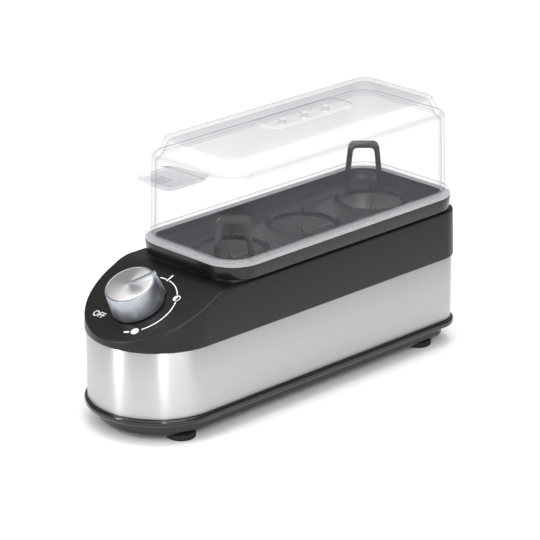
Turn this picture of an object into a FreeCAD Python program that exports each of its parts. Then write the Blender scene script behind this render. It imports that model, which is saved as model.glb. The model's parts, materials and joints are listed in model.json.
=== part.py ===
"""Three-egg electric egg cooker: a slim steaming appliance with a clear lift-off lid.

Frame: X is the width, Y the length with the control nose at -Y, Z is up.
The origin is the centre of the footprint on the surface that the feet stand on. Millimetres.
"""
import FreeCAD
import Part
import math
import os

V = FreeCAD.Vector
os.makedirs("parts", exist_ok=True)

# Driving dimensions -----------------------------------------------------------------------
BODY_HALF_WIDTH = 38.0        # housing's lower edge, the widest line of the casing
BODY_HALF_LENGTH = 115.0
REAR_CORNER_R = 14.0
BAND_INSET = 0.8              # steel band sits this far inside the housing's edge
BAND_THICK = 0.6
SKIRT_THICK = 1.8
WALL = 2.2
FOOT_HEIGHT = 3.0
BASE_FLOOR_THICK = 2.0
BASE_TUB_INSET = 5.5
BAND_BOTTOM_Z = 14.5
BAND_TOP_Z = 50.9
DECK_Z = 77.5                 # level part of the housing's top
DECK_DRAFT = 0.6              # how much narrower the housing is at its deck
CREASE_Y = -66.9              # where the sloping control panel meets the deck
PANEL_SLOPE_DEG = 25.1
CREASE_R = 22.0

# Cooking stack
COOK_Y0 = -61.0               # front and rear of the egg tray and of the lid's rim
COOK_Y1 = 114.0
COOK_HALF_WIDTH = 38.0
COOK_CORNER_R = 18.0
DISH_HALF_WIDTH = 31.0
DISH_END_INSET = 7.0
DISH_CORNER_R = 12.0
DISH_BOTTOM_Z = 57.0
DISH_THICK = 1.0
EGG_Y = (-25.0, 28.0, 81.0)
EGG_HOLE_R = 17.0
TRAY_RIM_BOTTOM_Z = 78.8
TRAY_RIM_TOP_Z = 85.8
TRAY_FLOOR_BOTTOM_Z = 78.3
TRAY_FLOOR_TOP_Z = 80.1

# Lid
LID_WALL = 1.8
LID_SHOULDER_Z = 131.8
LID_TOP_Z = 141.7
LID_ISLAND_RISE = 0.8
STEAM_HOLE_Y = (12.5, 28.5, 44.5)
STEAM_HOLE_R = 2.0

# Knob, along the panel's normal
KNOB_ALONG = -26.0            # from the crease, down the slope
KNOB_BASE_R = 14.3
KNOB_TOP_R = 13.3
KNOB_HEIGHT = 14.0
KNOB_GAP = 0.6
POINTER_DEG = 33.0            # pointer's angle from straight up the slope, clockwise


def rounded_plan(half_width, y0, y1, r_front, r_rear, z):
    """A closed wire in the plane z: straight sides and four quarter-circle corners."""
    corners = (
        (half_width - r_front, y0 + r_front, r_front, -90),
        (half_width - r_rear, y1 - r_rear, r_rear, 0),
        (-(half_width - r_rear), y1 - r_rear, r_rear, 90),
        (-(half_width - r_front), y0 + r_front, r_front, 180),
    )
    arcs = []
    for cx, cy, r, start in corners:
        points = []
        for turn in (0, 45, 90):
            a = math.radians(start + turn)
            points.append(V(cx + r * math.cos(a), cy + r * math.sin(a), z))
        arcs.append(points)
    edges = []
    for i, points in enumerate(arcs):
        edges.append(Part.Arc(*points).toShape())
        after = arcs[(i + 1) % len(arcs)][0]
        if (after - points[2]).Length > 1e-6:
            edges.append(Part.LineSegment(points[2], after).toShape())
    return Part.Wire(edges)


def body_plan(outward, z):
    """The casing's outline, a round nose and a square tail, moved outward by a distance."""
    half = BODY_HALF_WIDTH + outward
    length = BODY_HALF_LENGTH + outward
    return rounded_plan(half, -length, length, half, REAR_CORNER_R + outward, z)


def cook_plan(inward, z):
    """The outline shared by the egg tray and the lid, moved inward by a distance."""
    return rounded_plan(
        COOK_HALF_WIDTH - inward,
        COOK_Y0 + inward,
        COOK_Y1 - inward,
        COOK_CORNER_R - inward,
        COOK_CORNER_R - inward,
        z,
    )


def dish_plan(inward, z):
    """The outline of the heating dish's bowl, moved inward by a distance."""
    return rounded_plan(
        DISH_HALF_WIDTH - inward,
        COOK_Y0 + DISH_END_INSET + inward,
        COOK_Y1 - DISH_END_INSET - inward,
        DISH_CORNER_R - inward,
        DISH_CORNER_R - inward,
        z,
    )


def prism(plan, inward, z0, z1):
    """A straight solid on an outline, from z0 to z1."""
    return Part.Face(plan(inward, z0)).extrude(V(0, 0, z1 - z0))


def taper(plan, inward0, z0, inward1, z1):
    """A drafted solid between two sizes of one outline."""
    return Part.makeLoft([plan(inward0, z0), plan(inward1, z1)], True, True)


def cylinder(x, y, z0, z1, r):
    return Part.makeCylinder(r, z1 - z0, V(x, y, z0))


def block(x0, x1, y0, y1, z0, z1):
    return Part.makeBox(x1 - x0, y1 - y0, z1 - z0, V(x0, y0, z0))


def save(name, *solids):
    """Writes one node. Repeated fasteners are separate solids of one node."""
    shape = solids[0] if len(solids) == 1 else Part.makeCompound(list(solids))
    for solid in shape.Solids:
        if not solid.isValid() or solid.Volume <= 0:
            raise ValueError(f"{name} is not a valid solid")
    shape.exportStep(f"parts/{name}.step")
    print(f"{name}: {len(shape.Solids)} solid(s), {shape.Volume / 1000:.2f} cm3")


# Panel frame: a point on the slope and its three directions ----------------------------------
SLOPE = math.radians(PANEL_SLOPE_DEG)
UP_SLOPE = V(0, math.cos(SLOPE), math.sin(SLOPE))
NORMAL = V(0, -math.sin(SLOPE), math.cos(SLOPE))
KNOB_FOOT = V(0, CREASE_Y, DECK_Z) + UP_SLOPE * KNOB_ALONG


def on_knob_axis(height):
    return KNOB_FOOT + NORMAL * height


def axis_cylinder(h0, h1, r):
    """A cylinder on the knob's axis between two heights above the panel."""
    return Part.makeCylinder(r, h1 - h0, on_knob_axis(h0), NORMAL)


def side_profile(drop):
    """The casing's side view as a solid: sloping panel, rounded crease, level deck, lowered by drop."""
    tangent = CREASE_R * math.tan(SLOPE / 2)
    half_turn = SLOPE / 2
    crease = V(0, CREASE_Y, DECK_Z)
    down = V(0, 0, -drop)
    on_slope = crease - UP_SLOPE * tangent + down
    on_deck = crease + V(0, tangent, 0) + down
    sagitta = CREASE_R * (1 / math.cos(half_turn) - 1)
    bisector = V(0, math.sin(half_turn), -math.cos(half_turn))
    middle = crease + bisector * sagitta + down
    foot = crease - UP_SLOPE * 70 + down
    bottom_front = V(0, foot.y, 0)
    bottom_rear = V(0, BODY_HALF_LENGTH + 10, 0)
    top_rear = V(0, BODY_HALF_LENGTH + 10, DECK_Z - drop)
    edges = [
        Part.LineSegment(bottom_front, foot).toShape(),
        Part.LineSegment(foot, on_slope).toShape(),
        Part.Arc(on_slope, middle, on_deck).toShape(),
        Part.LineSegment(on_deck, top_rear).toShape(),
        Part.LineSegment(top_rear, bottom_rear).toShape(),
        Part.LineSegment(bottom_rear, bottom_front).toShape(),
    ]
    face = Part.Face(Part.Wire(edges))
    face.translate(V(-60, 0, 0))
    return face.extrude(V(120, 0, 0))


# Casing ---------------------------------------------------------------------------------------
SCREW_SPOTS = ((27.5, -40.0), (-27.5, -40.0), (27.5, 68.0), (-27.5, 68.0))
BOSS_R = 4.0
POST_TOP_Z = 18.0
BOSS_TOP_Z = 46.0
SCREW_R = 1.5


def boss_with_web(x, y, z0, z1, reach):
    """A screw boss and the web that ties it to the side wall."""
    side = math.copysign(1, x)
    web = block(min(x, side * reach), max(x, side * reach), y - 1.2, y + 1.2, z0, z1)
    return cylinder(x, y, z0, z1, BOSS_R).fuse(web)


def make_housing():
    """Black upper casing: sloping panel, deck with the dish's opening, and the skirt inside the band."""
    outer = taper(body_plan, 0, BAND_TOP_Z, -DECK_DRAFT, DECK_Z + 1).common(side_profile(0))
    inner = taper(body_plan, -WALL, BAND_TOP_Z - 1, -WALL - DECK_DRAFT, DECK_Z + 1)
    inner = inner.common(side_profile(WALL))
    skirt_out = -BAND_INSET - BAND_THICK
    skirt = prism(body_plan, skirt_out, BAND_BOTTOM_Z + 0.5, BAND_TOP_Z)
    hollow = prism(body_plan, skirt_out - SKIRT_THICK, BAND_BOTTOM_Z - 1, BAND_TOP_Z + 1)
    casing = outer.fuse(skirt).cut(inner.fuse(hollow))
    for x, y in SCREW_SPOTS:
        reach = BODY_HALF_WIDTH + skirt_out - 0.5
        casing = casing.fuse(boss_with_web(x, y, POST_TOP_Z, BOSS_TOP_Z, reach))
    for x, y in SCREW_SPOTS:
        casing = casing.cut(cylinder(x, y, POST_TOP_Z - 1, POST_TOP_Z + 12, SCREW_R))
    casing = casing.cut(prism(dish_plan, -0.8, DECK_Z - 10, DECK_Z + 10))
    casing = casing.cut(axis_cylinder(-10, 10, BUSHING_R + 0.2))
    return casing.removeSplitter()


def make_band():
    """Brushed steel wrap, open at top and bottom."""
    outside = prism(body_plan, -BAND_INSET, BAND_BOTTOM_Z, BAND_TOP_Z)
    return outside.cut(prism(body_plan, -BAND_INSET - BAND_THICK, BAND_BOTTOM_Z - 1, BAND_TOP_Z + 1))


FLANGE_OUT = 0.9
FLANGE_BOTTOM_Z = 10.6
GLAND_Z = 8.4
GLAND_R = 4.2
GLAND_BORE_R = 3.2
GLAND_SEAT_Y = BODY_HALF_LENGTH - BASE_TUB_INSET


def make_base():
    """Black bottom pan: rounded lip under the band, set-in tub, screw posts and the gland's hole."""
    lip = prism(body_plan, FLANGE_OUT, FLANGE_BOTTOM_Z, BAND_BOTTOM_Z)
    lip = lip.makeFillet(1.4, [e for e in lip.Edges if is_level(e)])
    tub = prism(body_plan, -BASE_TUB_INSET, FOOT_HEIGHT, FLANGE_BOTTOM_Z + 1)
    tub = tub.makeFillet(2.6, [e for e in tub.Edges if is_level(e) and e.BoundBox.ZMax < FOOT_HEIGHT + 0.1])
    hollow = prism(
        body_plan, -BASE_TUB_INSET - WALL, FOOT_HEIGHT + BASE_FLOOR_THICK, BAND_BOTTOM_Z + 1
    )
    pan = lip.fuse(tub).cut(hollow)
    for x, y in SCREW_SPOTS:
        post = cylinder(x, y, FOOT_HEIGHT + 1, POST_TOP_Z, BOSS_R)
        pan = pan.fuse(post).cut(cylinder(x, y, 0, POST_TOP_Z + 1, SCREW_R + 0.3))
        pan = pan.cut(cylinder(x, y, 0, FOOT_HEIGHT + 3, SCREW_HEAD_R + 0.3))
    for x, y in FOOT_SPOTS:
        pan = pan.cut(cylinder(x, y, 0, 20 - 11, FOOT_STEM_R))
    seat = Part.makeCylinder(GLAND_R, 12, V(0, GLAND_SEAT_Y - 6, GLAND_Z), V(0, 1, 0))
    notch = Part.makeCylinder(GLAND_R + 0.9, 10, V(0, GLAND_SEAT_Y, GLAND_Z), V(0, 1, 0))
    pan = pan.cut(seat.fuse(notch))
    for i in range(-4, 5):
        slot = block(-11, 11, i * 6 + 20 - 1, i * 6 + 20 + 1, 0, FOOT_HEIGHT + BASE_FLOOR_THICK + 1)
        pan = pan.cut(slot)
    return pan.removeSplitter()


def is_level(edge):
    return edge.BoundBox.ZLength < 1e-6


SCREW_HEAD_R = 2.8
FOOT_SPOTS = ((25.0, -85.0), (-25.0, -85.0), (25.0, 93.0), (-25.0, 93.0))
FOOT_NAMES = ("foot_front_right", "foot_front_left", "foot_rear_right", "foot_rear_left")
FOOT_R = 7.5
FOOT_STEM_R = 2.5


def make_foot(x, y):
    """Rubber foot with a stem that presses into the pan's floor."""
    pad = cylinder(x, y, 0, FOOT_HEIGHT, FOOT_R)
    pad = pad.makeFillet(1.2, [e for e in pad.Edges if is_level(e) and e.BoundBox.ZMax < 0.1])
    return pad.fuse(cylinder(x, y, FOOT_HEIGHT, FOOT_HEIGHT + 3.2, FOOT_STEM_R)).removeSplitter()


def make_base_screw(x, y):
    """Pan-head screw driven up through a post into the housing's boss."""
    head_z = FOOT_HEIGHT + 3
    return cylinder(x, y, head_z - 1.8, head_z, SCREW_HEAD_R).fuse(
        cylinder(x, y, head_z, POST_TOP_Z + 10, SCREW_R)
    )


def make_gland():
    """Cord gland in the pan's rear wall: a collar each side of the wall and the cord's bore."""
    back = GLAND_SEAT_Y
    body = Part.makeCylinder(GLAND_R, 6, V(0, back - 4, GLAND_Z), V(0, 1, 0))
    outer = Part.makeCylinder(GLAND_R + 0.9, 2.4, V(0, back, GLAND_Z), V(0, 1, 0))
    bore = Part.makeCylinder(GLAND_BORE_R, 20, V(0, back - 10, GLAND_Z), V(0, 1, 0))
    return body.fuse(outer).cut(bore).removeSplitter()


# Heating -----------------------------------------------------------------------------------------
PLATE_THICK = 3.0
PLATE_BOTTOM_Z = DISH_BOTTOM_Z - PLATE_THICK
ELEMENT_R = 3.2
ELEMENT_Z = PLATE_BOTTOM_Z - ELEMENT_R
ELEMENT_X = 10.0
ELEMENT_FRONT_Y = -32.0
ELEMENT_TURN_Y = 76.0


def make_dish():
    """Pressed water dish with a flange that lies on the deck."""
    bowl = prism(dish_plan, 0, DISH_BOTTOM_Z, DECK_Z)
    bowl = bowl.makeFillet(4.0, [e for e in bowl.Edges if is_level(e) and e.BoundBox.ZMax < DISH_BOTTOM_Z + 0.1])
    flange = prism(dish_plan, -3.2, DECK_Z, DECK_Z + 0.8)
    inside = prism(dish_plan, DISH_THICK, DISH_BOTTOM_Z + DISH_THICK, DECK_Z + 2)
    inside = inside.makeFillet(
        3.0, [e for e in inside.Edges if is_level(e) and e.BoundBox.ZMax < DISH_BOTTOM_Z + DISH_THICK + 0.1]
    )
    return bowl.fuse(flange).cut(inside).removeSplitter()


def make_gasket():
    """Silicone seal in the gap between the dish's wall and the deck's opening."""
    ring = prism(dish_plan, -0.8, DECK_Z - WALL, DECK_Z)
    return ring.cut(prism(dish_plan, 0, DECK_Z - WALL - 1, DECK_Z + 1))


def make_dish_clips():
    """Spring clips between the dish's wall and the underside of the deck."""
    top = DECK_Z - WALL
    clips = []
    for y in (-10.0, 28.0, 66.0):
        for side in (-1, 1):
            inner, outer = side * DISH_HALF_WIDTH, side * (DISH_HALF_WIDTH + 2.6)
            clips.append(block(min(inner, outer), max(inner, outer), y - 4, y + 4, top - 2.2, top))
    return clips


def tube(points, r):
    """A round tube along one wire of straight runs and arcs."""
    start = points.Edges[0].Vertexes[0].Point
    direction = points.Edges[0].tangentAt(points.Edges[0].FirstParameter)
    ring = Part.Wire([Part.Circle(start, direction, r).toShape()])
    return points.makePipeShell([ring], True, False)


def make_element():
    """Tubular heating element: a hairpin under the heat plate."""
    left_foot = V(-ELEMENT_X, ELEMENT_FRONT_Y, ELEMENT_Z)
    left_turn = V(-ELEMENT_X, ELEMENT_TURN_Y, ELEMENT_Z)
    apex = V(0, ELEMENT_TURN_Y + ELEMENT_X, ELEMENT_Z)
    right_turn = V(ELEMENT_X, ELEMENT_TURN_Y, ELEMENT_Z)
    right_foot = V(ELEMENT_X, ELEMENT_FRONT_Y, ELEMENT_Z)
    hairpin = Part.Wire(
        [
            Part.LineSegment(left_foot, left_turn).toShape(),
            Part.Arc(left_turn, apex, right_turn).toShape(),
            Part.LineSegment(right_turn, right_foot).toShape(),
        ]
    )
    return tube(hairpin, ELEMENT_R)


def make_element_pins():
    """Cold ends of the element with their push-on tabs."""
    pins = []
    for side in (-1, 1):
        x = side * ELEMENT_X
        pin = Part.makeCylinder(1.4, 8, V(x, ELEMENT_FRONT_Y - 8, ELEMENT_Z), V(0, 1, 0))
        tab = block(x - 3.1, x + 3.1, ELEMENT_FRONT_Y - 14, ELEMENT_FRONT_Y - 6, ELEMENT_Z - 0.4, ELEMENT_Z + 0.4)
        pins.append(pin.fuse(tab))
    return pins


def make_fuse():
    """Thermal cut-off lying on the heat plate's underside, with its two leads."""
    can = Part.makeCylinder(2.0, 12, V(0, 40, PLATE_BOTTOM_Z - 2.0), V(0, 1, 0))
    leads = Part.makeCylinder(0.6, 24, V(0, 34, PLATE_BOTTOM_Z - 2.0), V(0, 1, 0))
    return can.fuse(leads)


def make_thermostat():
    """Snap-disc thermostat: disc can, moulded body and two tabs."""
    x, y = 0.0, 10.0
    can = cylinder(x, y, PLATE_BOTTOM_Z - 3, PLATE_BOTTOM_Z, 6.2)
    body = cylinder(x, y, PLATE_BOTTOM_Z - 9, PLATE_BOTTOM_Z - 3, 5.4)
    tabs = block(x - 3, x - 2.2, y - 3, y + 3, PLATE_BOTTOM_Z - 15, PLATE_BOTTOM_Z - 8)
    other = block(x + 2.2, x + 3, y - 3, y + 3, PLATE_BOTTOM_Z - 15, PLATE_BOTTOM_Z - 8)
    return can.fuse([body, tabs, other]).removeSplitter()


# Control -------------------------------------------------------------------------------------------
BUSHING_R = 4.5
SHAFT_R = 3.0


def turned(shape, degrees):
    """Turns a shape about the knob's axis, clockwise seen from above."""
    copy = shape.copy()
    copy.rotate(KNOB_FOOT, NORMAL, -degrees)
    return copy


def make_switch():
    """Rotary power regulator: moulded box under the panel, bushing through it, four tabs."""
    half = 11.0
    across = V(1, 0, 0)
    corner = on_knob_axis(-WALL - 15) - across * half - UP_SLOPE * half
    box = Part.makeBox(2 * half, 2 * half, 13.5)
    box.Placement = FreeCAD.Placement(corner, FreeCAD.Rotation(across, PANEL_SLOPE_DEG))
    plate = axis_cylinder(-WALL - 1.5, -WALL, 10.0)
    bushing = axis_cylinder(-WALL, 1.4, BUSHING_R)
    body = box.fuse([plate, bushing])
    for u in (-6.0, 6.0):
        for w in (-5.0, 5.0):
            tab = Part.makeBox(0.8, 6.0, 6.0)
            place = on_knob_axis(-WALL - 15 - 5.5) + across * u + UP_SLOPE * (w - 3)
            tab.Placement = FreeCAD.Placement(place, FreeCAD.Rotation(across, PANEL_SLOPE_DEG))
            body = body.fuse(tab)
    return body.cut(axis_cylinder(-WALL - 8, 4, SHAFT_R + 0.08)).removeSplitter()


def make_switch_nut():
    """Hexagon nut that clamps the regulator's bushing to the panel."""
    points = []
    for i in range(6):
        a = math.radians(60 * i)
        points.append(on_knob_axis(0) + V(1, 0, 0) * 7 * math.cos(a) + UP_SLOPE * 7 * math.sin(a))
    face = Part.Face(Part.makePolygon(points + points[:1]))
    return face.extrude(NORMAL * 1.4).cut(axis_cylinder(-1, 3, BUSHING_R))


def make_shaft():
    """Regulator's shaft with a flat for the knob and the cam at its inner end."""
    rod = axis_cylinder(-WALL - 7.5, 10.0, SHAFT_R)
    flat = Part.makeBox(10, 4, 8)
    place = on_knob_axis(2.0) - V(1, 0, 0) * 5 + UP_SLOPE * 2.0
    flat.Placement = FreeCAD.Placement(place, FreeCAD.Rotation(V(1, 0, 0), PANEL_SLOPE_DEG))
    return turned(rod.cut(flat), POINTER_DEG)


def make_knob():
    """Knob's body: a drafted cup with a hub for the shaft."""
    cup = Part.makeCone(KNOB_BASE_R, KNOB_TOP_R, KNOB_HEIGHT - 1.0 - KNOB_GAP, on_knob_axis(KNOB_GAP), NORMAL)
    hollow = Part.makeCone(KNOB_BASE_R - 1.8, KNOB_TOP_R - 1.8, 9.4, on_knob_axis(KNOB_GAP), NORMAL)
    hub = axis_cylinder(2.4, KNOB_HEIGHT - 2.0, SHAFT_R + 2.2)
    key = make_shaft_socket()
    return cup.cut(hollow).fuse(hub).cut(key).removeSplitter()


def make_shaft_socket():
    """The D-shaped bore in the knob's hub."""
    bore = axis_cylinder(-1, 10.3, SHAFT_R)
    flat = Part.makeBox(10, 4, 14)
    place = on_knob_axis(-1.5) - V(1, 0, 0) * 5 + UP_SLOPE * 2.0
    flat.Placement = FreeCAD.Placement(place, FreeCAD.Rotation(V(1, 0, 0), PANEL_SLOPE_DEG))
    return turned(bore.cut(flat), POINTER_DEG)


def make_knob_cap():
    """Spun aluminium disc set in the knob's top."""
    return axis_cylinder(KNOB_HEIGHT - 1.0, KNOB_HEIGHT, KNOB_TOP_R)


POINTER_HALF = 0.9


def make_pointer():
    """Raised rib down the knob's side that shows where it points."""
    outer = V(0, 0, 0)
    base = on_knob_axis(KNOB_GAP)
    top = on_knob_axis(KNOB_HEIGHT)
    foot = base + UP_SLOPE * (KNOB_BASE_R + 1.3)
    head = top + UP_SLOPE * (KNOB_TOP_R + 1.3)
    side = V(1, 0, 0)
    root_low = base + UP_SLOPE * (KNOB_BASE_R - 0.6)
    root_high = top + UP_SLOPE * (KNOB_TOP_R - 0.6)
    ring = [root_low, foot, head, root_high, root_low]
    face = Part.Face(Part.makePolygon([p + outer - side * POINTER_HALF for p in ring]))
    rib = face.extrude(side * 2 * POINTER_HALF)
    knob = Part.makeCone(KNOB_BASE_R, KNOB_TOP_R, KNOB_HEIGHT - 1.0 - KNOB_GAP, base, NORMAL)
    knob = knob.fuse(axis_cylinder(KNOB_HEIGHT - 1.0, KNOB_HEIGHT + 0.1, KNOB_TOP_R))
    return turned(rib.cut(knob), POINTER_DEG)


# Electrical parts on the pan --------------------------------------------------------------------------
PAN_FLOOR_Z = FOOT_HEIGHT + BASE_FLOOR_THICK


def make_buzzer():
    """Sounder on the pan's floor under the nose."""
    can = cylinder(0, -92, PAN_FLOOR_Z, PAN_FLOOR_Z + 8, 10)
    return can.cut(cylinder(0, -92, PAN_FLOOR_Z + 6, PAN_FLOOR_Z + 9, 1.2))


def make_terminal_block():
    """Three-way block where the mains cord is joined to the inner wires."""
    body = block(-15, 15, 78, 92, PAN_FLOOR_Z, PAN_FLOOR_Z + 10)
    for x in (-10, 0, 10):
        body = body.cut(cylinder(x, 85, PAN_FLOOR_Z + 4, PAN_FLOOR_Z + 11, 2.2))
    return body


def make_terminal_screws():
    return [cylinder(x, 85, PAN_FLOOR_Z + 4, PAN_FLOOR_Z + 8, 2.0) for x in (-10, 0, 10)]


WIRE_R = 1.3


def run(corners, bend):
    """A wire of straight runs joined by tangent arcs of one radius."""
    edges = []
    last = corners[0]
    for before, at, after in zip(corners, corners[1:], corners[2:]):
        into = (at - before).normalize()
        out = (after - at).normalize()
        half = math.acos(max(-1, min(1, into.dot(out)))) / 2
        cut = bend * math.tan(half)
        start = at - into * cut
        end = at + out * cut
        centre_way = (out - into).normalize()
        middle = at + centre_way * (bend / math.cos(half) - bend)
        edges.append(Part.LineSegment(last, start).toShape())
        edges.append(Part.Arc(start, middle, end).toShape())
        last = end
    edges.append(Part.LineSegment(last, corners[-1]).toShape())
    return Part.Wire(edges)


def make_wires():
    """Inner wires: block to regulator, regulator to element, element back to block."""
    low = PAN_FLOOR_Z + 5
    tab = ELEMENT_FRONT_Y - 14 - 2
    under_switch = on_knob_axis(-WALL - 15 - 5.5 - 2)
    routes = {
        "wire_supply": [V(-10, 77, low), V(-18, 60, low), V(-18, -60, low), V(-6, under_switch.y, under_switch.z - 6)],
        "wire_switched": [V(6, under_switch.y + 2, under_switch.z - 5), V(14, -64, 34), V(ELEMENT_X, tab, ELEMENT_Z)],
        "wire_return": [V(-ELEMENT_X, tab, ELEMENT_Z), V(-21, -56, 30), V(-23, 20, 14), V(0, 76, low)],
    }
    return {name: tube(run(points, 8.0), WIRE_R) for name, points in routes.items()}


# Egg tray -------------------------------------------------------------------------------------------------
FIN_HEIGHT = 4.0
HANDLE_SPOTS = {"tray_handle_front": (19.0, -41.5, 1), "tray_handle_rear": (-19.0, 94.5, 1)}
HANDLE_HALF_TOP = 8.8
HANDLE_HALF_FOOT = 11.0
HANDLE_TOP_Z = 106.4
HANDLE_BAR = 2.8
HANDLE_DIAG = V(math.cos(math.radians(45.3)), math.sin(math.radians(45.3)), 0)


def make_tray():
    """Black egg tray: rim that carries the lid, stepped inner wall, floor with three egg holes."""
    rim = taper(cook_plan, 0.5, TRAY_RIM_BOTTOM_Z, 0, TRAY_RIM_TOP_Z)
    inside = prism(cook_plan, 3.4, TRAY_FLOOR_TOP_Z + 3.2, TRAY_RIM_TOP_Z + 1)
    inside = inside.fuse(taper(cook_plan, 6.4, TRAY_FLOOR_TOP_Z, 4.6, TRAY_FLOOR_TOP_Z + 3.4))
    floor = prism(dish_plan, -1.4, TRAY_FLOOR_BOTTOM_Z, TRAY_FLOOR_TOP_Z)
    tray = rim.cut(inside).fuse(floor)
    for y in EGG_Y:
        tray = tray.fuse(cylinder(0, y, TRAY_FLOOR_BOTTOM_Z, TRAY_FLOOR_TOP_Z + 1.2, EGG_HOLE_R + 1.6))
    for y in EGG_Y:
        for i in range(4):
            a = math.radians(45 + 90 * i)
            fin = Part.makeBox(4.5, 1.4, TRAY_FLOOR_TOP_Z - TRAY_FLOOR_BOTTOM_Z + FIN_HEIGHT)
            fin.translate(V(EGG_HOLE_R - 0.8, -0.7, TRAY_FLOOR_BOTTOM_Z))
            fin.rotate(V(0, 0, 0), V(0, 0, 1), math.degrees(a))
            fin.translate(V(0, y, 0))
            tray = tray.fuse(fin)
    for y in EGG_Y:
        tray = tray.cut(cylinder(0, y, TRAY_FLOOR_BOTTOM_Z - 1, TRAY_RIM_TOP_Z + 1, EGG_HOLE_R))
    return tray.removeSplitter()


def make_handle(x, y):
    """Splayed lifting loop that stands on the tray's floor across a corner."""
    centre = V(x, y, 0)
    foot = TRAY_FLOOR_TOP_Z

    def at(along, z):
        return centre + HANDLE_DIAG * along + V(0, 0, z)

    top, bar, across = HANDLE_TOP_Z, HANDLE_BAR, HANDLE_DIAG.cross(V(0, 0, 1))
    outer = [
        at(-HANDLE_HALF_FOOT, foot),
        at(-HANDLE_HALF_TOP, top - 5),
        at(-HANDLE_HALF_TOP + 4.5, top),
        at(HANDLE_HALF_TOP - 4.5, top),
        at(HANDLE_HALF_TOP, top - 5),
        at(HANDLE_HALF_FOOT, foot),
    ]
    inner = [
        at(HANDLE_HALF_FOOT - bar, foot),
        at(HANDLE_HALF_TOP - bar, top - 6.5),
        at(HANDLE_HALF_TOP - bar - 2.5, top - bar - 0.6),
        at(-HANDLE_HALF_TOP + bar + 2.5, top - bar - 0.6),
        at(-HANDLE_HALF_TOP + bar, top - 6.5),
        at(-HANDLE_HALF_FOOT + bar, foot),
    ]
    half = 1.5
    ring = [p - across * half for p in outer + inner]
    return Part.Face(Part.makePolygon(ring + ring[:1])).extrude(across * 2 * half)


# Lid --------------------------------------------------------------------------------------------------------
RIM_HEIGHT = 2.7
WALL_FOOT_INSET = 2.8
WALL_TOP_INSET = 3.8
LEDGE_INSET = 6.3
CAP_TOP_INSET = 11.0
ISLAND_HALF = 9.5
ISLAND_Y = (-2.5, 59.5)
TAB_HALF = 13.2
TAB_REACH = 21.0
TAB_TOP_Z = 129.4


def make_lid():
    """Clear lid: rim, drafted wall, ledge, chamfered cap, steam island and the lifting tab."""
    rim = prism(cook_plan, 0, TRAY_RIM_TOP_Z, TRAY_RIM_TOP_Z + RIM_HEIGHT)
    wall = taper(cook_plan, WALL_FOOT_INSET, TRAY_RIM_TOP_Z, WALL_TOP_INSET, LID_SHOULDER_Z)
    cap = taper(cook_plan, LEDGE_INSET, LID_SHOULDER_Z - 0.5, CAP_TOP_INSET, LID_TOP_Z)
    island = rounded_plan(ISLAND_HALF, ISLAND_Y[0], ISLAND_Y[1], 7.0, 7.0, LID_TOP_Z - 0.5)
    island = Part.Face(island).extrude(V(0, 0, 0.5 + LID_ISLAND_RISE))
    root_y = COOK_Y0 + WALL_TOP_INSET + 1.0
    tab = block(-TAB_HALF, TAB_HALF, root_y - TAB_REACH - 1, root_y, TAB_TOP_Z - LID_WALL, TAB_TOP_Z)
    outer_edges = [
        e
        for e in tab.Edges
        if e.BoundBox.ZLength > 1 and e.BoundBox.YMax < root_y - 1
    ]
    tab = tab.makeFillet(5.0, outer_edges)
    outside = rim.fuse([wall, cap, island, tab])
    hollow = taper(
        cook_plan,
        WALL_FOOT_INSET + LID_WALL,
        TRAY_RIM_TOP_Z - 1,
        WALL_TOP_INSET + LID_WALL,
        LID_SHOULDER_Z - LID_WALL,
    )
    hollow_cap = taper(
        cook_plan, LEDGE_INSET + LID_WALL, LID_SHOULDER_Z - 3, CAP_TOP_INSET + LID_WALL, LID_TOP_Z - LID_WALL
    )
    lid = outside.cut(hollow.fuse(hollow_cap))
    for y in STEAM_HOLE_Y:
        lid = lid.cut(cylinder(0, y, LID_TOP_Z - 6, LID_TOP_Z + 6, STEAM_HOLE_R))
    return lid.removeSplitter()


# Build ------------------------------------------------------------------------------------------------------------
save("housing", make_housing())
save("steel_band", make_band())
save("base_pan", make_base())
for foot_name, spot in zip(FOOT_NAMES, FOOT_SPOTS):
    save(foot_name, make_foot(*spot))
save("base_screws", *[make_base_screw(x, y) for x, y in SCREW_SPOTS])
save("cord_gland", make_gland())
save("heating_dish", make_dish())
save("dish_gasket", make_gasket())
save("dish_clips", *make_dish_clips())
save("heat_plate", block(-16, 16, ELEMENT_FRONT_Y + 4, 92, PLATE_BOTTOM_Z, DISH_BOTTOM_Z))
save("heating_element", make_element())
save("element_pins", *make_element_pins())
save("thermal_fuse", make_fuse())
save("thermostat", make_thermostat())
save("power_regulator", make_switch())
save("regulator_nut", make_switch_nut())
save("regulator_shaft", make_shaft())
save("knob_body", make_knob())
save("knob_cap", make_knob_cap())
save("knob_pointer", make_pointer())
save("buzzer", make_buzzer())
save("terminal_block", make_terminal_block())
save("terminal_screws", *make_terminal_screws())
for wire_name, wire in make_wires().items():
    save(wire_name, wire)
save("egg_tray", make_tray())
for handle_name, (hx, hy, _) in HANDLE_SPOTS.items():
    save(handle_name, make_handle(hx, hy))
save("lid", make_lid())
print("knob axis foot", [round(c, 3) for c in KNOB_FOOT], "normal", [round(c, 5) for c in NORMAL])
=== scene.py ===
import json
import math

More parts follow.
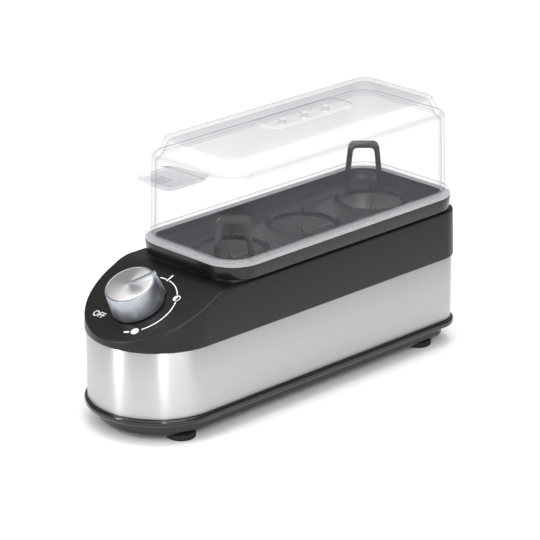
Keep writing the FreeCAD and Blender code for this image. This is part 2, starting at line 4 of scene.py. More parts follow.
import bpy
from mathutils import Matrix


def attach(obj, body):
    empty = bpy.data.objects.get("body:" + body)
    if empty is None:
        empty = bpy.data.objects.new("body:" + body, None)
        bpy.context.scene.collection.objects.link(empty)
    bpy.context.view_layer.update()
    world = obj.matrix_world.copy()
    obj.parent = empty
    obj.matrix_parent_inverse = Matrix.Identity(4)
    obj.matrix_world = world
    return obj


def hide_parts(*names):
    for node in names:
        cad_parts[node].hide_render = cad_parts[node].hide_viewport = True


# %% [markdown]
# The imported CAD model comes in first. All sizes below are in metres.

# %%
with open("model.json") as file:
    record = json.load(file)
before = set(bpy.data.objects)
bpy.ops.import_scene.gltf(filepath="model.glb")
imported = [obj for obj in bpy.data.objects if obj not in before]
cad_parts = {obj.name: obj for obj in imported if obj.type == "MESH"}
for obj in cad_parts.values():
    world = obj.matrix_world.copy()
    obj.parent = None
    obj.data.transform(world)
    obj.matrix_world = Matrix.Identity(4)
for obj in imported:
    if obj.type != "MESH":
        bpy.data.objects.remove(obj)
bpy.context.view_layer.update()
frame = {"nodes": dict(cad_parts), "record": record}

MM = 0.001
SLOPE = math.radians(25.1)
CREASE_Y, DECK_Z = -66.9, 77.5
FOOT_Y = CREASE_Y - 26.0 * math.cos(SLOPE)
FOOT_Z = DECK_Z - 26.0 * math.sin(SLOPE)
POINTER = math.radians(33.0)
EGG_Y = (-25.0, 28.0, 81.0)
STEAM_Y = (12.5, 28.5, 44.5)
HALF_WIDTH, HALF_LENGTH, REAR_R = 38.0, 115.0, 14.0

# %% [markdown]
# Small helpers for mesh work. Every moulded piece here is a rounded plan that is extruded and
# inset step by step, as a draughted moulding is drawn, so one helper starts a plan and another
# adds the steps.


# %%
def deselect():
    if bpy.context.object and bpy.context.object.mode != "OBJECT":
        bpy.ops.object.mode_set(mode="OBJECT")
    bpy.ops.object.select_all(action="DESELECT")


def current(name):
    """Names the object just made."""
    piece = bpy.context.object
    piece.name = name
    piece.data.name = name
    return piece


def only(piece):
    deselect()
    piece.select_set(True)
    bpy.context.view_layer.objects.active = piece


def pick(piece, test, kind="FACE"):
    """Selects the faces (or vertices) that pass the test, and leaves the piece in edit mode."""
    only(piece)
    bpy.ops.object.mode_set(mode="EDIT")
    bpy.ops.mesh.select_mode(type=kind)
    bpy.ops.mesh.select_all(action="DESELECT")
    bpy.ops.object.mode_set(mode="OBJECT")
    mesh = piece.data
    count = 0
    for item in mesh.polygons if kind == "FACE" else mesh.vertices:
        place = item.center if kind == "FACE" else item.co
        item.select = bool(test(place * 1000, item.normal))
        count += item.select
    bpy.ops.object.mode_set(mode="EDIT")
    return count


def plan(name, half, y0, y1, r_front, r_rear, z, segments=16):
    """A flat rounded outline: a plane whose four corners are bevelled to their radii."""
    deselect()
    bpy.ops.mesh.primitive_plane_add(size=1, location=(0, (y0 + y1) / 2 * MM, z * MM))
    piece = current(name)
    piece.scale = (2 * half * MM, (y1 - y0) * MM, 1)
    bpy.ops.object.transform_apply(location=True, rotation=True, scale=True)
    middle = (y0 + y1) / 2
    for r, front in ((r_front, True), (r_rear, False)):
        pick(piece, lambda at, n, front=front: (at.y < middle) == front, "VERT")
        bpy.ops.mesh.bevel(
            offset=r * MM, segments=segments, profile=0.5, affect="VERTICES", clamp_overlap=False
        )
    bpy.ops.mesh.select_all(action="SELECT")
    bpy.ops.mesh.remove_doubles(threshold=0.01 * MM)
    bpy.ops.object.mode_set(mode="OBJECT")
    return piece


def steps(piece, path):
    """Grows the selected face: each step goes in by the first number and along Z by the second."""
    for inward, rise in path:
        if inward > 0:
            bpy.ops.mesh.inset(thickness=inward * MM, depth=0)
            if rise:
                bpy.ops.transform.translate(value=(0, 0, rise * MM))
        else:
            bpy.ops.mesh.extrude_region_move(TRANSFORM_OT_translate={"value": (0, 0, rise * MM)})
    bpy.ops.object.mode_set(mode="OBJECT")
    return piece


def piece_selected(piece):
    """The selected vertices, read back from edit mode."""
    piece.update_from_editmode()
    return [v for v in piece.data.vertices if v.select]


def outside(piece):
    """Makes all normals point outward."""
    only(piece)
    bpy.ops.object.mode_set(mode="EDIT")
    bpy.ops.mesh.select_all(action="SELECT")
    bpy.ops.mesh.normals_make_consistent(inside=False)
    bpy.ops.object.mode_set(mode="OBJECT")
    return piece


def soften(piece, width, segments=3, angle=28):
    """Rounds the sharp edges by a small radius and shades the rest smooth."""
    only(piece)
    if width:
        bevel = piece.modifiers.new("edges", "BEVEL")
        bevel.width = width * MM
        bevel.segments = segments
        bevel.limit_method = "ANGLE"
        bevel.angle_limit = math.radians(angle)
        bevel.harden_normals = False
        bpy.ops.object.modifier_apply(modifier="edges")
    bpy.ops.object.shade_smooth_by_angle(angle=math.radians(35))
    return piece


def carve(piece, *cutters, operation="DIFFERENCE"):
    """Cuts pieces away (or joins them on) and removes the cutters."""
    for cutter in cutters:
        only(piece)
        cut = piece.modifiers.new("cut", "BOOLEAN")
        cut.operation = operation
        cut.solver = "EXACT"
        cut.object = cutter
        bpy.ops.object.modifier_apply(modifier="cut")
        print(piece.name, operation.lower(), cutter.name, "faces", len(piece.data.polygons))
        bpy.data.objects.remove(cutter, do_unlink=True)
    return piece


def join(name, *pieces):
    only(pieces[0])
    for piece in pieces[1:]:
        piece.select_set(True)
    if len(pieces) > 1:
        bpy.ops.object.join()
    return current(name)


def place_on_panel(piece, turn=0.0, lift=0.0):
    """Turns a piece modelled upright at the origin about its axis, tilts it and sets it on the panel."""
    only(piece)
    for angle, axis in ((turn, "Z"), (SLOPE, "X")):
        if angle:
            piece.rotation_euler = (angle, 0, 0) if axis == "X" else (0, 0, angle)
            bpy.ops.object.transform_apply(location=True, rotation=True, scale=True)
    up = (0, -math.sin(SLOPE) * lift * MM, math.cos(SLOPE) * lift * MM)
    piece.location = (0, FOOT_Y * MM + up[1], FOOT_Z * MM + up[2])
    bpy.ops.object.transform_apply(location=True, rotation=True, scale=True)
    return piece


def cylinder(name, r, depth, x=0.0, y=0.0, z=0.0, vertices=48):
    """A disc or rod that starts at z and is depth tall, in millimetres."""
    deselect()
    bpy.ops.mesh.primitive_cylinder_add(
        radius=r * MM, depth=depth * MM, vertices=vertices, location=(x * MM, y * MM, (z + depth / 2) * MM)
    )
    piece = current(name)
    bpy.ops.object.transform_apply(location=True, rotation=True, scale=True)
    return piece


def box(name, x0, x1, y0, y1, z0, z1):
    deselect()
    at = ((x0 + x1) / 2 * MM, (y0 + y1) / 2 * MM, (z0 + z1) / 2 * MM)
    bpy.ops.mesh.primitive_cube_add(size=1, location=at)
    piece = current(name)
    piece.scale = ((x1 - x0) * MM, (y1 - y0) * MM, (z1 - z0) * MM)
    bpy.ops.object.transform_apply(location=True, rotation=True, scale=True)
    return piece


# %% [markdown]
# Shader maths. One small class wraps a socket so that a formula reads as a formula, and one
# method adds any other node.


# %%
class Wire:
    def __init__(self, shader, socket):
        self.shader, self.socket = shader, socket

    def maths(self, operation, other, swap=False):
        node = self.shader.nodes.new("ShaderNodeMath")
        node.operation = operation
        pair = (other, self) if swap else (self, other)
        for slot, value in zip(node.inputs, pair):
            self.shader.feed(slot, value)
        return Wire(self.shader, node.outputs[0])

    def __add__(self, other):
        return self.maths("ADD", other)

    def __radd__(self, other):
        return self.maths("ADD", other, True)

    def __sub__(self, other):
        return self.maths("SUBTRACT", other)

    def __rsub__(self, other):
        return self.maths("SUBTRACT", other, True)

    def __mul__(self, other):
        return self.maths("MULTIPLY", other)

    def __rmul__(self, other):
        return self.maths("MULTIPLY", other, True)

    def __gt__(self, other):
        return self.maths("GREATER_THAN", other)


class Shader:
    """A node material with a Principled surface and helpers for its procedural inputs."""

    def __init__(self, name):
        self.material = bpy.data.materials.new(name)
        self.material.use_nodes = True
        self.nodes = self.material.node_tree.nodes
        self.links = self.material.node_tree.links
        self.surface = self.nodes["Principled BSDF"]

    def feed(self, socket, value):
        if isinstance(value, Wire):
            self.links.new(value.socket, socket)
        else:
            socket.default_value = value

    def add(self, kind, output=0, settings=None, **inputs):
        node = self.nodes.new("ShaderNode" + kind)
        for key, value in (settings or {}).items():
            setattr(node, key, value)
        for key, value in inputs.items():
            self.feed(node.inputs[key.replace("_", " ")], value)
        return Wire(self, node.outputs[output])

    def coords(self, scale=(1, 1, 1)):
        place = self.add("TexCoord", "Object")
        return self.add("Mapping", Vector=place, Scale=scale)

    def noise(self, scale, detail=3.0, stretch=(1, 1, 1), rough=0.5):
        place = self.coords(stretch)
        return self.add("TexNoise", 0, Vector=place, Scale=scale, Detail=detail, Roughness=rough)

    def blend(self, factor, first, second):
        mix = self.nodes.new("ShaderNodeMix")
        mix.data_type = "RGBA"
        self.feed(mix.inputs[0], factor)
        self.feed(mix.inputs[6], first)
        self.feed(mix.inputs[7], second)
        return Wire(self, mix.outputs[2])

    def set(self, **inputs):
        for key, value in inputs.items():
            self.feed(self.surface.inputs[key.replace("_", " ")], value)
        return self

    def bump(self, height, strength, distance):
        rise = self.add("Bump", Height=height, Strength=strength, Distance=distance)
        return self.set(Normal=rise)


def grey(value, warm=0.0):
    return (value * (1 + warm), value, value * (1 - warm), 1)


def moulded(name, dark, light, rough, grain=900.0, depth=0.00004, strength=0.15, coat=0.0):
    """Moulded plastic: a faint drift in tone and gloss, with the mould's fine texture."""
    made = Shader(name)
    drift = made.noise(28.0, 4.0)
    fine = made.noise(grain, 2.0)
    made.set(Base_Color=made.blend(drift, dark, light), Roughness=drift * 0.08 + (rough - 0.04))
    made.set(Coat_Weight=coat, Specular_IOR_Level=0.3)
    return made.bump(fine, strength, depth).material


def metal(name, dark, light, rough, stretch, scale=60.0, strength=0.2, spread=0.12, brushed=0.0):
    """Metal with a grain drawn out along one direction."""
    made = Shader(name)
    coarse = made.noise(scale, 6.0, stretch, 0.65)
    fine = made.noise(scale * 6, 3.0, stretch, 0.7)
    grain = coarse * 0.5 + fine * 0.5
    made.set(Base_Color=made.blend(grain, dark, light), Metallic=1.0, Roughness=grain * spread + rough)
    made.set(Anisotropic=brushed, Anisotropic_Rotation=0.25 if brushed else 0.0)
    return made.bump(fine, strength, 0.00003).material


def clear(name, tint, edge, rough=0.03):
    """Clear moulded plastic: mostly see-through, with painted reflection: greyer where it is seen on edge,
    paler and less clear at the flange, and with grey lines at the two bends.
    """
    made = Shader(name)
    drift = made.noise(14.0, 3.0)
    # Painted reflection: faces seen on edge are painted greyer and made less clear.
    slant_reflection = made.add("LayerWeight", 1, Blend=0.32)
    place = made.add("TexCoord", "Object")
    depth = made.add("SeparateXYZ", 1, Vector=place)
    height = made.add("SeparateXYZ", 2, Vector=place)
    # Painted light: the flange band below 88.7 mm is painted pale and made less clear.
    thick = 1.0 - (height > 0.0887)
    # Painted reflection: thin bands at the shoulder and crown bends are made less clear, which draws grey
    # lines there.
    shoulder = 1.0 - ((height - 0.1313).maths("ABSOLUTE", 0.0) > 0.0008)
    crown = 1.0 - ((height - 0.1403).maths("ABSOLUTE", 0.0) > 0.0004)
    bend_reflection = shoulder + crown
    # The tab is made less clear, so the painted grey shows on it.
    tab = 1.0 - (depth > -0.0588)
    tab = tab * (height > 0.12)
    lit = made.blend(thick * 0.8, made.blend(slant_reflection, tint, edge), (0.85, 0.85, 0.88, 1))
    made.set(Base_Color=lit, Roughness=drift * 0.03 + rough, IOR=1.46)
    veil = slant_reflection * slant_reflection * slant_reflection * 0.9 + slant_reflection * 0.14 + drift * 0.01 + 0.025
    made.set(Alpha=veil + thick * 0.17 + bend_reflection * 0.16 + tab * 0.09, Specular_IOR_Level=0.8)
    return made.material


def spun(name):
    """Disc turned on a lathe: rings about the knob's axis."""
    made = Shader(name)
    place = made.add("TexCoord", "Object")
    moved = made.add("VectorMath", 0, {"operation": "SUBTRACT"}, Vector=place)
    moved.socket.node.inputs[1].default_value = (0, FOOT_Y * MM, FOOT_Z * MM)
    along = made.add("VectorMath", 1, {"operation": "DOT_PRODUCT"}, Vector=moved)
    along.socket.node.inputs[1].default_value = (0, -math.sin(SLOPE), math.cos(SLOPE))
    total = made.add("VectorMath", 1, {"operation": "LENGTH"}, Vector=moved)
    radius = (total * total - along * along).maths("SQRT", 0.0)
    rings = (radius * 14000.0).maths("SINE", 0.0) * 0.5 + 0.5
    fine = made.noise(400.0, 3.0)
    made.set(Base_Color=made.blend(rings, grey(0.72), grey(0.86)), Metallic=1.0)
    made.set(Roughness=rings * 0.06 + 0.26)
    made.set(Anisotropic=0.85)
    return made.bump(rings + fine * 0.3, 0.12, 0.00003).material


# %% [markdown]
# The finishes. Each record slot has one, and the pieces built below use the same ones as the CAD
# pieces beside them.

# %%
finish = {
    "black_casing": moulded("charcoal_casing", grey(0.004), grey(0.0065), 0.36, 1400.0, 0.00003, 0.10),
    "gloss_black": moulded("polished_black", grey(0.004), grey(0.007), 0.14, 500.0, 0.00002, 0.03, 0.4),
    "tray_black": moulded("tray_black", grey(0.005), grey(0.008), 0.24, 900.0, 0.00002, 0.06, 0.2),
    "foot_rubber": moulded("foot_rubber", grey(0.008), grey(0.014), 0.75, 1200.0, 0.00008, 0.3),
    "gland_plastic": moulded("gland_plastic", grey(0.018), grey(0.03), 0.6, 1200.0, 0.00006, 0.25),
    "silicone": moulded("silicone_seal", grey(0.42), grey(0.5), 0.5),
    "phenolic": moulded("phenolic", (0.03, 0.022, 0.018, 1), (0.05, 0.038, 0.03, 1), 0.5),
    "regulator_plastic": moulded("regulator_plastic", grey(0.6, 0.04), grey(0.7, 0.04), 0.5),
    "terminal_plastic": moulded("terminal_plastic", grey(0.72, 0.03), grey(0.8, 0.03), 0.45),
    "wire_brown": moulded("wire_brown", (0.13, 0.05, 0.025, 1), (0.17, 0.07, 0.035, 1), 0.4),
    "wire_red": moulded("wire_red", (0.42, 0.03, 0.02, 1), (0.5, 0.045, 0.03, 1), 0.4),
    "wire_blue": moulded("wire_blue", (0.03, 0.08, 0.3, 1), (0.045, 0.11, 0.38, 1), 0.4),
    "band_steel": metal("brushed_band", grey(0.4), grey(0.6), 0.3, (1, 1, 40), 60.0, 0.14, 0.08, 0.9),
    "dish_steel": metal("dish_steel", grey(0.5), grey(0.62), 0.3, (1, 12, 1)),
    "plated_steel": metal("plated_steel", grey(0.5), grey(0.66), 0.32, (1, 1, 1)),
    "plate_aluminium": metal("cast_plate", grey(0.6), grey(0.74), 0.45, (1, 1, 1)),
    "element_sheath": metal("element_sheath", grey(0.2, 0.08), grey(0.34, 0.05), 0.4, (1, 1, 1)),
    "pin_brass": metal("pin_brass", (0.6, 0.42, 0.16, 1), (0.72, 0.52, 0.24, 1), 0.32, (1, 1, 1)),
    "knob_silver": metal("knob_silver", (0.36, 0.38, 0.42, 1), (0.45, 0.47, 0.51, 1), 0.34, (1, 1, 1)),
    "knob_aluminium": spun("spun_disc"),
    # The lid's lilac grey and its darker edge-on grey are painted reflection, seen mostly where the lid is
    # edge-on.
    "clear_plastic": clear("clear_lid", (0.34, 0.33, 0.38, 1), (0.1, 0.1, 0.13, 1)),
}
slot_of = {entry["node"]: entry["material_slot"] for entry in frame["record"]["subparts"]}
for node_name, node in frame["nodes"].items():
    node.data.materials.clear()
    node.data.materials.append(finish[slot_of[node_name]])
print(len(finish), "finishes on", len(frame["nodes"]), "nodes")


def done(piece, body, slot, *nodes):
    """Gives a piece its finish, its body and the CAD nodes that it stands for."""
    piece.data.materials.clear()
    piece.data.materials.append(finish[slot])
    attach(piece, body)
    if nodes:
        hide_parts(*nodes)
    faces = len(piece.data.polygons)
    size = [round(1000 * d, 1) for d in piece.dimensions]
    print(piece.name, "size mm", size, "faces", faces)


# %% [markdown]
# The upper casing is one injection moulding in satin charcoal plastic: a stadium-nosed shell with
# a panel that slopes down to the nose. The nose is a half circle and the tail has small corners.
# It is grown from its plan with a slight draught, then a wedge with a rolled edge cuts the slope,
# as the tool's core would form it.


# %%
def slope_cutter(drop):
    """A block above the panel and deck, with its lower edge rolled at the crease."""
    cutter = box("slope", -60, 60, -160, 160, DECK_Z - drop, 140)
    pick(cutter, lambda at, n: n.z < -0.5)
    bpy.ops.mesh.subdivide(number_cuts=1)
    pick(cutter, lambda at, n: at.z < 100 and abs(at.y) < 1, "VERT")
    bpy.ops.transform.translate(value=(0, CREASE_Y * MM, 0))
    reach = 160 + CREASE_Y
    pick(cutter, lambda at, n: at.z < 100 and at.y < -150, "VERT")
    bpy.ops.transform.translate(value=(0, 0, -reach * math.tan(SLOPE) * MM))
    pick(cutter, lambda at, n: at.z < 100 and abs(at.y - CREASE_Y) < 1, "VERT")
    bpy.ops.mesh.bevel(offset=22 * math.tan(SLOPE / 2) * MM, segments=10, affect="EDGES")
    bpy.ops.object.mode_set(mode="OBJECT")
    return outside(cutter)


def stadium(name, outward, z, segments=40):
    half = HALF_WIDTH + outward
    length = HALF_LENGTH + outward
    return plan(name, half, -length, length, half, REAR_R + outward, z, segments)


def grown(piece, *path):
    """Extrudes a plan through the steps and closes it to a solid."""
    inward, rise = path[0]
    pick(piece, lambda at, n: True)
    bpy.ops.mesh.extrude_region_move(TRANSFORM_OT_translate={"value": (0, 0, rise * MM)})
    if inward:
        bpy.ops.mesh.select_mode(type="FACE")
        corners = [v.co.copy() for v in piece_selected(piece)]
        width = max(c.x for c in corners) - min(c.x for c in corners)
        low, high = min(c.y for c in corners), max(c.y for c in corners)
        shrink = (1 - 2 * inward * MM / width, 1 - 2 * inward * MM / (high - low), 1)
        bpy.ops.transform.resize(value=shrink, center_override=(0, (low + high) / 2, corners[0].z))
    steps(piece, path[1:])
    return outside(piece)


casing = grown(stadium("upper_casing", 0, 50.9), (0.6, 28.0))
carve(casing, slope_cutter(0))
hollow = carve(grown(stadium("hollow", -2.2, 49.0), (0.6, 32.0)), slope_cutter(2.2))
dish_hole = grown(plan("dish_hole", 31.8, -54.8, 107.8, 12.8, 12.8, 60), (0, 30))
shaft_hole = cylinder("shaft_hole", 4.7, 20, z=-10)
place_on_panel(shaft_hole)
carve(casing, hollow, dish_hole, shaft_hole)
skirt = grown(stadium("skirt", -1.4, 15.0), (0, 36.2))
carve(skirt, grown(stadium("skirt_hollow", -3.2, 12.0), (0, 44)))
soften(casing, 0.9, 4)
soften(skirt, 0)
casing = join("upper_casing", casing, skirt)
soften(casing, 0)
for side in (-1, 1):
    for boss_y in (-40.0, 68.0):
        boss = cylinder("boss", 4.0, 28, side * 27.5, boss_y, 18.0, 32)
        bore = cylinder("boss_bore", 1.52, 11, side * 27.5, boss_y, 17.5, 24)
        carve(boss, bore)
        casing = join("upper_casing", casing, boss)
done(casing, "base", "black_casing", "housing")

# %% [markdown]
# The band is a strip of brushed stainless sheet wrapped round the casing, with its grain running
# along the length. It is a thin ring with a folded-looking edge, so it is cut from two plans and
# its edges are barely rounded.

# %%
band = grown(stadium("band_wrap", -0.8, 14.6, 56), (0, 36.1))
carve(band, grown(stadium("band_hollow", -1.36, 12, 56), (0, 42)))
soften(band, 0.18, 2)
done(band, "base", "band_steel", "steel_band")

# %% [markdown]
# The pan is polished black: a set-in tub with a wide radius at its foot and a full round lip
# under the band. The vents, post holes and screw posts follow the CAD, which stays in view as it
# is; only its finish is added here. The feet are turned rubber discs with a rounded edge and a
# shallow dished sole.

# %%
for foot_name, (fx, fy) in {
    "foot_front_right": (25, -85),
    "foot_front_left": (-25, -85),
    "foot_rear_right": (25, 93),
    "foot_rear_left": (-25, 93),
}.items():
    foot = cylinder(foot_name + "_pad", 7.5, 3.0, fx, fy, 0, 48)
    pick(foot, lambda at, n: n.z < -0.5)
    bpy.ops.mesh.inset(thickness=2.2 * MM)
    bpy.ops.mesh.inset(thickness=0.5 * MM)
    bpy.ops.transform.translate(value=(0, 0, 0.5 * MM))
    bpy.ops.object.mode_set(mode="OBJECT")
    soften(foot, 0.5, 3)
    foot = join(foot_name + "_pad", foot, cylinder("stem", 2.5, 3.2, fx, fy, 3.0, 24))
    done(foot, "base", "foot_rubber", foot_name)

# %% [markdown]
# The knob is a drafted cup, metallised on the outside, with a spun disc set just inside its rim
# and a wedge-shaped rib that runs out across the top and down the side to show where it points.
# It is modelled upright at the origin, then tilted onto the panel.

# %%
knob = cylinder("knob_cup", 14.3, 13.3, z=0.6, vertices=96)
pick(knob, lambda at, n: n.z > 0.5)
bpy.ops.transform.resize(value=(13.4 / 14.3, 13.4 / 14.3, 1))
bpy.ops.mesh.inset(thickness=0.9 * MM)
bpy.ops.mesh.extrude_region_move(TRANSFORM_OT_translate={"value": (0, 0, -0.5 * MM)})
pick(knob, lambda at, n: n.z < -0.5)
bpy.ops.mesh.inset(thickness=1.7 * MM)
bpy.ops.mesh.extrude_region_move(TRANSFORM_OT_translate={"value": (0, 0, 9.4 * MM)})
bpy.ops.object.mode_set(mode="OBJECT")
soften(knob, 0.35, 3, 40)
hub = cylinder("hub", 5.2, 8.0, z=2.4, vertices=48)
carve(hub, cylinder("hub_bore", 3.02, 9.0, z=1.5, vertices=48))
knob = join("knob_cup", knob, soften(hub, 0.2, 2))
place_on_panel(knob, -POINTER)
done(knob, "knob", "knob_silver", "knob_body")

disc = cylinder("knob_disc", 12.4, 0.5, z=13.45, vertices=96)
pick(disc, lambda at, n: n.z > 0.5)
bpy.ops.mesh.inset(thickness=0.35 * MM)
bpy.ops.transform.translate(value=(0, 0, 0.12 * MM))
bpy.ops.object.mode_set(mode="OBJECT")
soften(disc, 0)
place_on_panel(disc, -POINTER)
done(disc, "knob", "knob_aluminium", "knob_cap")

rib = box("knob_rib", -1.5, 1.5, 1.0, 14.6, 13.0, 14.9)
pick(rib, lambda at, n: at.y < 2, "VERT")
bpy.ops.transform.resize(value=(0.35, 1, 1), center_override=(0, 1 * MM, 13.8 * MM))
bpy.ops.object.mode_set(mode="OBJECT")
side_rib = box("side_rib", -1.5, 1.5, 12.9, 14.6, 0.8, 13.2)
pick(side_rib, lambda at, n: at.z < 2, "VERT")
bpy.ops.transform.translate(value=(0, 0.9 * MM, 0))
bpy.ops.object.mode_set(mode="OBJECT")
carve(rib, side_rib, operation="UNION")
soften(rib, 0.3, 2)
place_on_panel(rib, -POINTER)
done(rib, "knob", "knob_silver", "knob_pointer")

# %% [markdown]
# The dial is pad-printed in white on the panel: a thin arc, a bar across its start, a half-filled
# round for soft eggs, a filled one for hard, a dash, and the word for off. The marks are ink, so
# they are flat pieces a few hundredths of a millimetre thick.

# %%
finish["print_white"] = moulded("print_white", grey(0.78), grey(0.86), 0.55)
marks = []


def arc_mark(r, width, start, end, cx=0.0, cy=0.0, points=360):
    """A flat curved stroke: part of a fine circle, widened by an extrusion towards its centre."""
    deselect()
    bpy.ops.mesh.primitive_circle_add(vertices=points, radius=(r + width / 2) * MM)
    stroke = current("mark")
    if end - start < 360:
        middle, half = math.radians((start + end) / 2), math.radians((end - start) / 2)
        toward = (math.cos(middle), math.sin(middle))
        limit = (r + width / 2) * math.cos(half)
        pick(stroke, lambda at, n: at.x * toward[0] + at.y * toward[1] < limit, "VERT")
        bpy.ops.mesh.delete(type="VERT")
    else:
        pick(stroke, lambda at, n: True, "VERT")
    bpy.ops.mesh.select_all(action="SELECT")
    bpy.ops.mesh.extrude_region_move(TRANSFORM_OT_translate={"value": (0, 0, 0)})
    shrink = (r - width / 2) / (r + width / 2)
    bpy.ops.transform.resize(value=(shrink, shrink, 1), center_override=(0, 0, 0))
    bpy.ops.object.mode_set(mode="OBJECT")
    stroke.location = (cx * MM, cy * MM, 0)
    bpy.ops.object.transform_apply(location=True, rotation=True, scale=True)
    marks.append(stroke)


def bar_mark(x, y, w, h, turn=0.0):
    deselect()
    bpy.ops.mesh.primitive_plane_add(size=1)
    stroke = current("mark")
    stroke.scale = (w * MM, h * MM, 1)
    stroke.rotation_euler = (0, 0, math.radians(turn))
    stroke.location = (x * MM, y * MM, 0)
    bpy.ops.object.transform_apply(location=True, rotation=True, scale=True)
    marks.append(stroke)


def disc_mark(x, y, r, half=False):
    deselect()
    centre = (x * MM, y * MM, 0)
    bpy.ops.mesh.primitive_circle_add(vertices=32, radius=r * MM, fill_type="NGON", location=centre)
    stroke = current("mark")
    bpy.ops.object.transform_apply(location=True, rotation=True, scale=True)
    if half:
        pick(stroke, lambda at, n: at.x > x + 0.05, "VERT")
        bpy.ops.mesh.delete(type="VERT")
        bpy.ops.object.mode_set(mode="OBJECT")
        if not stroke.data.polygons:
            pick(stroke, lambda at, n: True, "VERT")
            bpy.ops.mesh.edge_face_add()
            bpy.ops.object.mode_set(mode="OBJECT")
    marks.append(stroke)


DIAL_R = 20.7
for first, last in ((42, 82), (-42, 28), (88, 101)):
    arc_mark(DIAL_R, 0.6, first, last)
bar_mark(22.2 * math.cos(math.radians(85)), 22.2 * math.sin(math.radians(85)), 0.9, 4.8, -5)
for angle, half in ((35, True), (-51, False)):
    ex, ey = DIAL_R * math.cos(math.radians(angle)), DIAL_R * math.sin(math.radians(angle))
    arc_mark(1.9, 0.4, 0, 360, ex, ey, 48)
    disc_mark(ex, ey, 1.5, half)
bar_mark(9.0, -18.4, 2.9, 0.9, 25)
deselect()
bpy.ops.object.text_add(location=(-15.6 * MM, -14.6 * MM, 0))
word = bpy.context.object
word.data.body = "OFF"
word.data.size = 5.4 * MM
word.scale = (0.85, 1.0, 1.0)
word.data.align_x = "CENTER"
word.data.align_y = "CENTER"
bpy.ops.object.convert(target="MESH")
word = current("mark")
bpy.ops.object.transform_apply(location=True, rotation=True, scale=True)
marks.append(word)
dial = join("dial_print", *marks)
only(dial)
bpy.ops.object.mode_set(mode="EDIT")
bpy.ops.mesh.select_all(action="SELECT")
bpy.ops.mesh.extrude_region_move(TRANSFORM_OT_translate={"value": (0, 0, 0.03 * MM)})
outside(dial)
place_on_panel(dial, 0, 0.02)
dial.data.materials.clear()
dial.data.materials.append(finish["print_white"])
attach(dial, "base")
print("dial marks", len(marks), "faces", len(dial.data.polygons))

# %% [markdown]
# The egg tray is moulded in dark glossy plastic. Its rim carries the lid, its inner wall steps
# down to the floor, and the floor has three round holes with prongs that hold the eggs upright.
# The holes have a raised lip to turn water away.

# %%
tray = plan("egg_tray_shell", 37.5, -60.5, 113.5, 17.5, 17.5, 78.8, 20)
grown(tray, (-0.5, 7.0))
pick(tray, lambda at, n: n.z > 0.5 and at.z > 85)
steps(tray, [(3.4, 0.0), (0, -2.4), (1.2, 0.0), (0, -1.3), (0.6, 0.0), (0.6, -2.0)])
outside(tray)
for y in EGG_Y:
    lip = cylinder("lip", 18.6, 3.0, 0, y, 78.3, 64)
    carve(tray, lip, operation="UNION")
    carve(tray, cylinder("egg_hole", 17.0, 12, 0, y, 74, 64))
soften(tray, 0.35, 3, 30)
prongs = []
for y in EGG_Y:
    for turn in (45, 135, 225, 315):
        prong = box("prong", 16.8, 20.6, -0.7, 0.7, 79.0, 84.2)
        pick(prong, lambda at, n: at.z > 83 and at.x > 19, "VERT")
        bpy.ops.transform.translate(value=(-1.4 * MM, 0, 0))
        bpy.ops.object.mode_set(mode="OBJECT")
        soften(prong, 0.3, 2)
        prong.rotation_euler = (0, 0, math.radians(turn))
        prong.location = (0, y * MM, 0)
        bpy.ops.object.transform_apply(location=True, rotation=True, scale=True)
        prongs.append(prong)
tray = join("egg_tray_shell", tray, *prongs)
done(tray, "tray", "tray_black", "egg_tray")

# %% [markdown]
# Each finger loop is a splayed arch that stands across a corner of the tray. An outer and an
# inner outline are drawn flat, drawn in towards the top, thickened and cut one from the other,
# then the loop is stood up and turned to the diagonal.


# %%
def arch(name, half_foot, half_top, low, high, r, z0, thick):
    """A flat arch-shaped slab with rounded shoulders, narrower at the top."""
    slab = plan(name, half_foot, low, high, 0.02, r, z0, 8)
    pick(slab, lambda at, n: at.y > (low + high) / 2, "VERT")
    bpy.ops.transform.resize(value=(half_top / half_foot, 1, 1), center_override=(0, high * MM, 0))
    bpy.ops.object.mode_set(mode="OBJECT")
    return grown(slab, (0, thick))


for end, (cx, cy) in {"front": (19.0, -41.5), "rear": (-19.0, 94.5)}.items():
    loop = arch("finger_loop_" + end, 11.0, 8.8, 0.0, 26.3, 4.6, -1.5, 3.0)
    carve(loop, arch("loop_gap", 8.2, 6.0, -2.0, 22.9, 3.2, -4.0, 8.0))
    soften(loop, 0.5, 3)
    loop.rotation_euler = (math.radians(90), 0, math.radians(45.3))
    loop.location = (cx * MM, cy * MM, 80.1 * MM)
    bpy.ops.object.transform_apply(location=True, rotation=True, scale=True)
    done(loop, "tray", "tray_black", "tray_handle_" + end)

# %% [markdown]
# The lid is a clear polystyrene moulding. From its rim the wall rises with a slight draught to a
# ledge, then a chamfer leads to the flat top, where a low obround island has the steam holes. The
# inside follows the outside at the wall's thickness. The see-through look comes from partial
# transparency, which is stronger on faces seen at a slant, at the rim and at the two bends. The grey
# there is painted reflection, and the rim band is painted pale.

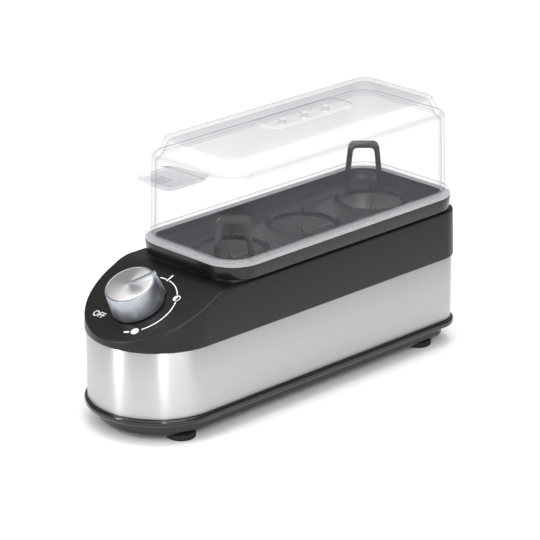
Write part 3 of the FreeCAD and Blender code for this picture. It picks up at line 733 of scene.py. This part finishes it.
# %%
lid = plan("lid_shell", 38.0, -61.0, 114.0, 18.0, 18.0, 85.81, 20)
grown(
    lid,
    (0, 2.2),
    (0.9, 0.5),
    (1.9, 0.0),
    (1.0, 41.8),
    (0.5, 0.8),
    (0.5, 0.35),
    (1.7, 0.1),
    (0.2, 0.5),
    (4.2, 8.3),
    (0.5, 0.5),
    (0.6, 0.1),
)
pick(lid, lambda at, n: n.z < -0.9 and at.z < 86.5)
bpy.ops.mesh.inset(thickness=4.6 * MM)
steps(lid, [(0, 0.8), (1.0, 41.4), (2.6, 1.9), (4.2, 8.6), (0.8, 0.5)])
outside(lid)
soften(lid, 0.3, 3, 24)
island = grown(plan("island", 9.5, -2.5, 59.5, 7.0, 7.0, 140.9, 12), (0, 0.9), (0.7, 0.65))
soften(island, 0)
carve(lid, island, operation="UNION")
for y in STEAM_Y:
    carve(lid, cylinder("steam_hole", 2.0, 12, 0, y, 134, 32))
tab = plan("tab", 13.2, -80.5, -56.4, 5.0, 0.02, 127.6, 8)
grown(tab, (0, 1.8))
pick(tab, lambda at, n: n.z > 0.5)
bpy.ops.mesh.inset(thickness=1.3 * MM)
bpy.ops.mesh.inset(thickness=1.0 * MM)
bpy.ops.transform.translate(value=(0, 0, -0.6 * MM))
bpy.ops.object.mode_set(mode="OBJECT")
soften(tab, 0.35, 3)
bumps = [tab]
for i in range(3):
    bump = box("grip_bump", -4.5, 4.5, -77.3 + i * 3.2, -76.1 + i * 3.2, 128.6, 129.5)
    bumps.append(soften(bump, 0.4, 3))
lid = join("lid_shell", lid, *bumps)
bpy.ops.object.shade_smooth_by_angle(angle=math.radians(35))
done(lid, "lid", "clear_plastic", "lid")
print("lid top mm", round(1000 * max(v.co.z for v in lid.data.vertices), 2))

# %% [markdown]
# The floor is a wide pale sheet that the object stands on. A broad sun stands in for a bright
# ceiling, and narrow strips make the streaks in the brushed band.

# %%
deselect()
bpy.ops.mesh.primitive_plane_add(size=30, location=(0, 0, -0.0002))
floor = current("studio_floor")
bpy.ops.object.transform_apply(location=True, rotation=True, scale=True)
paper = Shader("studio_paper")
tone = paper.noise(3.0, 2.0)
paper.set(Base_Color=paper.blend(tone, grey(0.86), grey(0.90)), Roughness=0.8)
floor.data.materials.append(paper.material)

world = bpy.data.worlds.new("studio")
bpy.context.scene.world = world
world.use_nodes = True
world.node_tree.nodes["Background"].inputs[0].default_value = (1.0, 1.0, 1.0, 1)
world.node_tree.nodes["Background"].inputs[1].default_value = 0.35
bpy.context.scene.view_settings.view_transform = "Standard"


def softbox(name, at, target, wide, high, power):
    """A rectangular area light aimed at a point."""
    deselect()
    bpy.ops.object.light_add(type="AREA", location=at)
    lamp = bpy.context.object
    lamp.name = name
    lamp.data.shape = "RECTANGLE"
    lamp.data.size, lamp.data.size_y = wide, high
    lamp.data.energy = power
    aim = [t - a for t, a in zip(target, at)]
    lamp.rotation_euler = (
        math.acos(-aim[2] / math.sqrt(sum(c * c for c in aim))),
        0,
        math.atan2(aim[1], aim[0]) - math.pi / 2,
    )
    return lamp


softbox("key_right", (1.1, -0.25, 0.75), (0, 0, 0.06), 0.8, 1.0, 6)
softbox("nose_strip", (-0.35, -1.2, 0.45), (0, -0.05, 0.06), 0.12, 1.2, 9)
softbox("side_strip", (1.15, -0.9, 0.45), (0, -0.05, 0.06), 0.12, 1.2, 7)
softbox("top", (0.0, 0.1, 1.3), (0, 0, 0.06), 0.9, 0.9, 5)
deselect()
bpy.ops.object.light_add(type="SUN", location=(0, 0, 3), rotation=(math.radians(12), math.radians(10), 0))
bpy.context.object.name = "sky_panel"
bpy.context.object.data.energy = 2.2
bpy.context.object.data.angle = math.radians(80)

# %% [markdown]
# The camera stands off the front right corner, a little above the lid, with a long lens so that
# the long sides stay almost parallel.

# %%
deselect()
azimuth, elevation, far = math.radians(45.34), math.radians(20.75), 1.5288
target = (0.0034, 0.0, 0.0620)
back = (
    math.sin(azimuth) * math.cos(elevation),
    -math.cos(azimuth) * math.cos(elevation),
    math.sin(elevation),
)
bpy.ops.object.camera_add(location=[t + far * b for t, b in zip(target, back)])
camera = bpy.context.object
camera.rotation_euler = (math.pi / 2 - elevation, 0, azimuth)
camera.data.lens = 193.0
camera.data.sensor_width = 36.0
camera.data.clip_end = 50.0
bpy.context.scene.camera = camera
